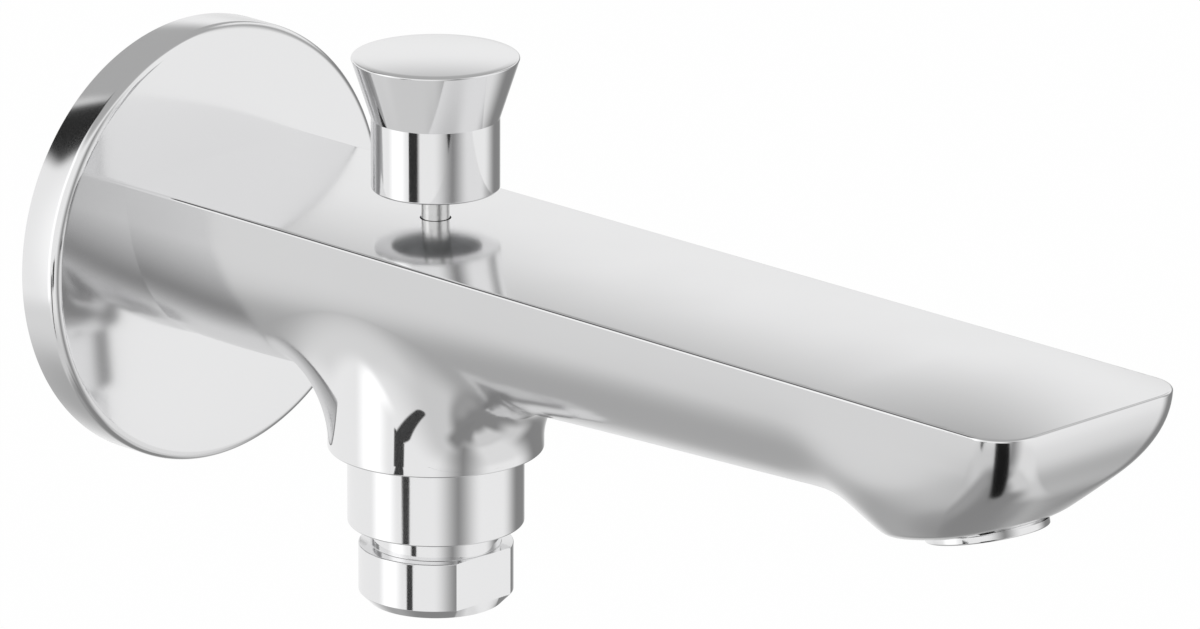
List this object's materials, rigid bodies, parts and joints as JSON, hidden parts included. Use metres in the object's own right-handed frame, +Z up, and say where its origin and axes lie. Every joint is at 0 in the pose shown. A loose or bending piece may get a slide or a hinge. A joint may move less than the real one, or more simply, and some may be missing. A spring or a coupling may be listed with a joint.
{
  "type": "wall-mounted bath spout",
  "caption": "Long flat-topped chromed bath spout on a round wall flange, with a pull-up diverter knob, an aerated outlet under its nose and a hose outlet below.",
  "frame": {"origin": "centre of the wall socket's mouth, on the wall plane", "axes": "+Y into the wall along the socket's axis, -Y out along the spout, +Z up, +X to the right for someone who faces the wall"},
  "size_m": [0.08, 0.2184, 0.0986],
  "materials": {
    "body_chrome": "polished chrome plate on a brass casting",
    "flange_chrome": "polished chrome plate on turned brass",
    "fittings_chrome": "polished chrome plate on turned brass",
    "drawn_steel": "drawn stainless steel",
    "turned_brass": "bare turned brass",
    "black_rubber": "black nitrile rubber",
    "soft_rubber": "dark soft rubber",
    "grey_plastic": "moulded grey plastic"
  },
  "bodies": {
    "spout": {"spout_body": "body_chrome", "wall_flange": "flange_chrome", "flange_seal": "soft_rubber", "tail_o_ring": "black_rubber", "inlet_washer": "soft_rubber", "rod_guide": "turned_brass", "guide_washer": "soft_rubber", "rod_o_rings": "black_rubber", "outlet_adapter": "fittings_chrome", "adapter_o_ring": "black_rubber", "connector_washer": "soft_rubber", "hose_connector": "fittings_chrome", "hose_washer": "soft_rubber", "aerator_housing": "fittings_chrome", "flow_grid": "grey_plastic", "aerator_cup": "grey_plastic", "jet_plate": "grey_plastic", "filter_screen": "drawn_steel", "aerator_washer": "black_rubber"},
    "diverter": {"diverter_knob": "fittings_chrome", "diverter_rod": "drawn_steel", "valve_spool": "turned_brass", "upper_valve_washer": "black_rubber", "lower_valve_washer": "black_rubber", "backing_washers": "drawn_steel", "rod_nut": "turned_brass"}
  },
  "joints": [
    {"name": "diverter_lift", "type": "slide", "parent": "spout", "child": "diverter", "axis": [0, 0, 1], "range_m": [0, 0.008]}
  ]
}
